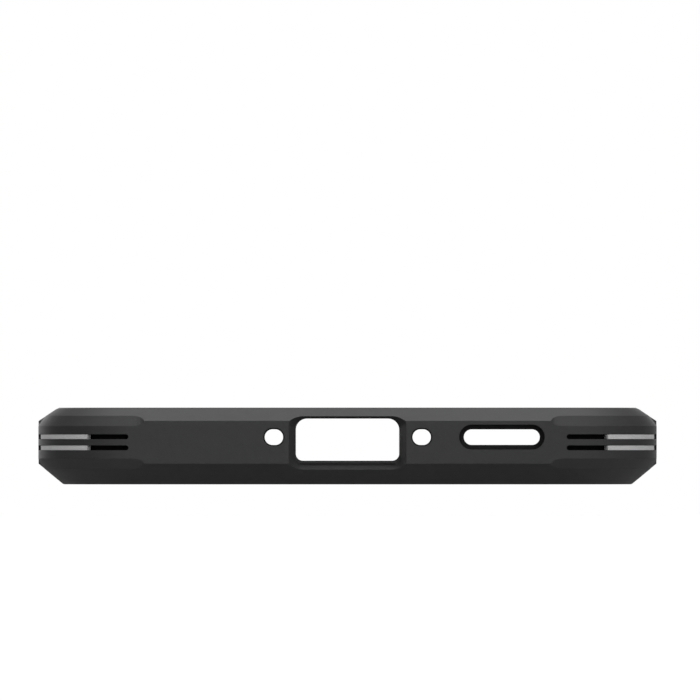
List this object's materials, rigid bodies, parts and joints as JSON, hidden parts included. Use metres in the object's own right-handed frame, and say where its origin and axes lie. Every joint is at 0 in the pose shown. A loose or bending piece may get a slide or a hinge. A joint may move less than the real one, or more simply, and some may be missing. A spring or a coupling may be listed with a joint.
{
  "type": "phone case",
  "caption": "Rugged two-layer phone case with bevelled edges, slotted corners with light inlays, sprung key covers and a folding stand in the back.",
  "frame": {"origin": "middle of the back face, on which the case lies", "axes": "+Z out of the screen, +Y towards the phone's top end, +X towards the side with the keys"},
  "size_m": [0.084, 0.1692, 0.0104],
  "materials": {
    "hard_shell": "fine matte moulded polycarbonate, black",
    "soft_sleeve": "satin soft polyurethane, black",
    "back_panel": "fine textured polycarbonate, black",
    "guard": "satin black",
    "foam": "closed-cell foam with an embossed grid, dark grey",
    "stand": "dark satin coat",
    "pin_steel": "ground",
    "key_cap": "satin black",
    "inlay": "light grey, flush in the corner slots"
  },
  "bodies": {
    "shell": {"outer_frame": "hard_shell", "inner_sleeve": "soft_sleeve", "back_plate": "back_panel", "camera_guard": "guard", "impact_foam": "foam", "kickstand_pin": "pin_steel", "corner_inlay_top_right": "inlay", "corner_inlay_top_left": "inlay", "corner_inlay_bottom_right": "inlay", "corner_inlay_bottom_left": "inlay"},
    "stand": {"kickstand": "stand"},
    "volume_up_key": {"volume_up_cap": "key_cap", "volume_up_pad": "soft_sleeve"},
    "volume_down_key": {"volume_down_cap": "key_cap", "volume_down_pad": "soft_sleeve"},
    "power_key": {"power_cap": "key_cap", "power_pad": "soft_sleeve"}
  },
  "joints": [
    {"name": "stand_hinge", "type": "hinge", "parent": "shell", "child": "stand", "pos_m": [0.021, -0.038, 0.00095], "axis": [0, -1, 0], "range_deg": [0, 60]},
    {"name": "volume_up_press", "type": "slide", "parent": "shell", "child": "volume_up_key", "axis": [-1, 0, 0], "range_m": [0, 0.0004], "stiffness_N_per_m": 3000, "springref_m": -0.0001},
    {"name": "volume_down_press", "type": "slide", "parent": "shell", "child": "volume_down_key", "axis": [-1, 0, 0], "range_m": [0, 0.0004], "stiffness_N_per_m": 3000, "springref_m": -0.0001},
    {"name": "power_press", "type": "slide", "parent": "shell", "child": "power_key", "axis": [-1, 0, 0], "range_m": [0, 0.0004], "stiffness_N_per_m": 3000, "springref_m": -0.0001}
  ]
}
